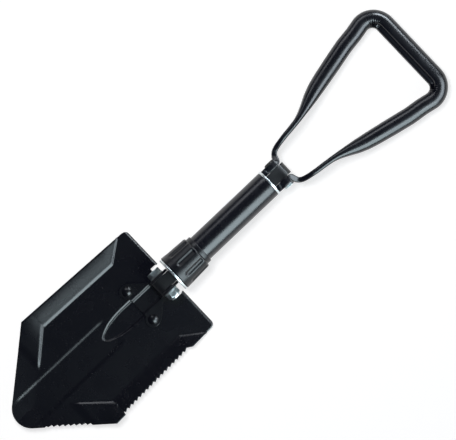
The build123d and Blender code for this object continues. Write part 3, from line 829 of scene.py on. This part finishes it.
def threadedRod(low, high, radius, pitch, centre):
    # rod whose radius is a cosine of the thread's pitch at its -y end
    depth, length = 0.28, 8.0
    at = np.arange(low + 0.6, low + length, pitch / 8)
    wave = radius - depth + depth * np.cos(2 * math.pi * at / pitch)
    profile = [(low, radius * 0.4), (low, radius - 0.8), (low + 0.5, radius - 0.35)]
    profile += list(zip(at, wave)) + [(low + length + 0.2, radius), (high, radius)]
    return ringShell(turned(profile, 48, "y", centre), joined=False)


def lowHead(low, high, radius, centre):
    # flat round head with a wide chamfer and a round socket
    profile = [
        (low, 0.2), (low, radius), (high - 1.0, radius), (high - 0.2, radius - 1.0),
        (high, radius - 1.5), (high, 2.5), (high - 1.3, 2.4), (high - 1.3, 0.2),
    ]
    return ringShell(turned(profile, 72, "y", centre), joined=False)


bladePin = (0.0, 0.0, 0.0)
handlePin = (hingeSpan, 0.0, 0.0)

make = bladeBoltMake
finishPiece("bladeHingeBolt", "blade", zincFastener, ["blade_hinge_bolt"], [
    hexPiece(make["headLow"], make["headHigh"], make["acrossFlats"], make["headBore"], bladePin,
             chamferLow=False),
    threadedRod(make["rodLow"], make["rodHigh"], make["rodRadius"], make["pitch"], bladePin),
    washerPiece(make["crownLow"], make["crownHigh"], make["crownRadius"], 0.1, bladePin),
])
finishPiece("bladeHingeNut", "blade", zincFastener, ["blade_hinge_nut"], [
    hexPiece(make["nutLow"], make["nutHigh"], make["acrossFlats"], make["nutBore"], bladePin),
    ringShell(turned(make["noseRim"], 72, "y")),
])
washerSize = make["washerRadius"], make["washerBore"]
finishPiece("bladeHingeWashers", "blade", zincFastener, ["blade_hinge_washers"], [
    washerPiece(make["washerInner"], make["washerOuter"], *washerSize, bladePin),
    washerPiece(-make["washerOuter"], -make["washerInner"], *washerSize, bladePin),
])

make = handleBoltMake
finishPiece("handleHingeBolt", "handle", blackOxide, ["handle_hinge_bolt"], [
    lowHead(make["headLow"], make["headHigh"], make["headRadius"], handlePin),
    threadedRod(make["rodLow"], make["rodHigh"], make["rodRadius"], make["pitch"], handlePin),
])
finishPiece("handleHingeNut", "handle", zincFastener, ["handle_hinge_nut"], [
    hexPiece(make["nutLow"], make["nutHigh"], make["acrossFlats"], make["nutBore"], handlePin),
])
washerSize = make["washerRadius"], make["washerBore"]
finishPiece("handleHingeWasher", "handle", zincFastener, ["handle_hinge_washer"], [
    washerPiece(make["washerLow"], make["washerHigh"], *washerSize, handlePin),
])

carried = {
    "tie_bar": ("core_black", blackOxide),
    "tube_thread_sleeve": ("plain_steel", turnedSteel),
    "collar_thread_insert": ("plain_steel", turnedSteel),
    "blade_hinge_sleeve": ("plain_steel", turnedSteel),
    "handle_hinge_sleeve": ("plain_steel", turnedSteel),
}
for nodeName, (slotName, finish) in carried.items():
    node = frame["nodes"][nodeName]
    node.data.materials.clear()
    node.data.materials.append(finish)
print("fasteners made, inner parts painted")


lookMake = {
    "lineAngle": 43.5, "widthMm": 478.8, "shiftRightMm": 11.6, "shiftUpMm": 13.4,
    "cameraHeight": 2.4, "middleHeight": 0.02, "sensorWidth": 36.0, "floorHalf": 3.0,
    "floorHex": "#c8c8c8", "skyHex": "#2c2e36", "floorGlow": 0.72,
}

# name, bearing and angle from straight up in degrees, distance, width and height in
# metres, watts, tint, seen in reflections, lights surfaces
softBoxes = [
    ("softBoxRight", -46, 50, 1.2, 0.85, 1.1, 25, (0.8, 0.95, 1.0), True, False),
    ("softBoxGripSide", 8, 56, 0.8, 0.55, 0.45, 6.5, (0.82, 0.92, 1.0), True, False),
    ("softBoxLeft", 110, 56, 1.6, 0.9, 0.5, 5, (0.92, 0.95, 1.0), True, False),
    ("softBoxRear", 60, 66, 1.0, 0.5, 0.2, 7, (0.84, 0.93, 1.0), True, False),
    ("softBoxAbove", 135, 15, 1.5, 0.4, 0.4, 11, (1.0, 1.0, 1.0), False, True),
]

turnAngle = math.radians(lookMake["lineAngle"])
imageRight = np.array([math.cos(turnAngle), -math.sin(turnAngle), 0.0])
imageUp = np.array([math.sin(turnAngle), math.cos(turnAngle), 0.0])
aim = (imageRight * lookMake["shiftRightMm"] + imageUp * lookMake["shiftUpMm"]) / 1000


def makeFloor():
    # flat sheet just below the tool
    ends = np.linspace(-lookMake["floorHalf"], lookMake["floorHalf"], 7)
    a, b = np.meshgrid(ends, ends, indexing="ij")
    points = np.stack([a, b, np.full_like(a, -0.0002)], -1).reshape(-1, 3)
    mesh = bpy.data.meshes.new("paleFloor")
    mesh.from_pydata(points.tolist(), [], gridQuads(7, 7)[:, ::-1].tolist())
    material, tree = newMaterial("paleFloorPaper")
    shader = addNode(tree, "ShaderNodeBsdfPrincipled", Base_Color=fromHex(lookMake["floorHex"]),
                     Roughness=0.9, Emission_Color=(1.0, 1.0, 1.0, 1.0),
                     Emission_Strength=lookMake["floorGlow"])
    addNode(tree, "ShaderNodeOutputMaterial", Surface=shader.outputs[0])
    mesh.materials.append(material)
    floor = bpy.data.objects.new("paleFloor", mesh)
    bpy.context.scene.collection.objects.link(floor)


def addSoftBox(name, imageAngle, zenith, distance, width, height, watts, tint, inGloss, inDiffuse):
    # placed by its bearing in the camera's view and its angle from straight up, aimed at
    # the tool
    bearing = math.radians(imageAngle)
    flat = imageRight * math.cos(bearing) + imageUp * math.sin(bearing)
    tilt = math.radians(zenith)
    direction = flat * math.sin(tilt) + np.array([0, 0, math.cos(tilt)])
    light = bpy.data.lights.new(name, "AREA")
    light.shape, light.size, light.size_y = "RECTANGLE", width, height
    light.energy, light.color = watts, tint
    lamp = bpy.data.objects.new(name, light)
    bpy.context.scene.collection.objects.link(lamp)
    lamp.location = (direction * distance + aim).tolist()
    lamp.rotation_euler = Vector((-direction).tolist()).to_track_quat("-Z", "Y").to_euler()
    lamp.visible_glossy, lamp.visible_diffuse = inGloss, inDiffuse


makeFloor()
for softBox in softBoxes:
    addSoftBox(*softBox)

world = bpy.data.worlds.new("studioRoom")
world.use_nodes = True
background = world.node_tree.nodes["Background"]
background.inputs[0].default_value = fromHex(lookMake["skyHex"])
background.inputs[1].default_value = 1.0
bpy.context.scene.world = world

cameraData = bpy.data.cameras.new("pictureCamera")
cameraData.sensor_width = lookMake["sensorWidth"]
throw = (lookMake["cameraHeight"] - lookMake["middleHeight"]) * 1000
cameraData.lens = lookMake["sensorWidth"] * throw / lookMake["widthMm"]
cameraData.clip_end = 20.0
camera = bpy.data.objects.new("pictureCamera", cameraData)
bpy.context.scene.collection.objects.link(camera)
camera.location = (aim[0], aim[1], lookMake["cameraHeight"])
camera.rotation_euler = (0.0, 0.0, -turnAngle)
bpy.context.scene.camera = camera
bpy.context.scene.view_settings.view_transform = "Standard"
print("floor, lights and camera set")
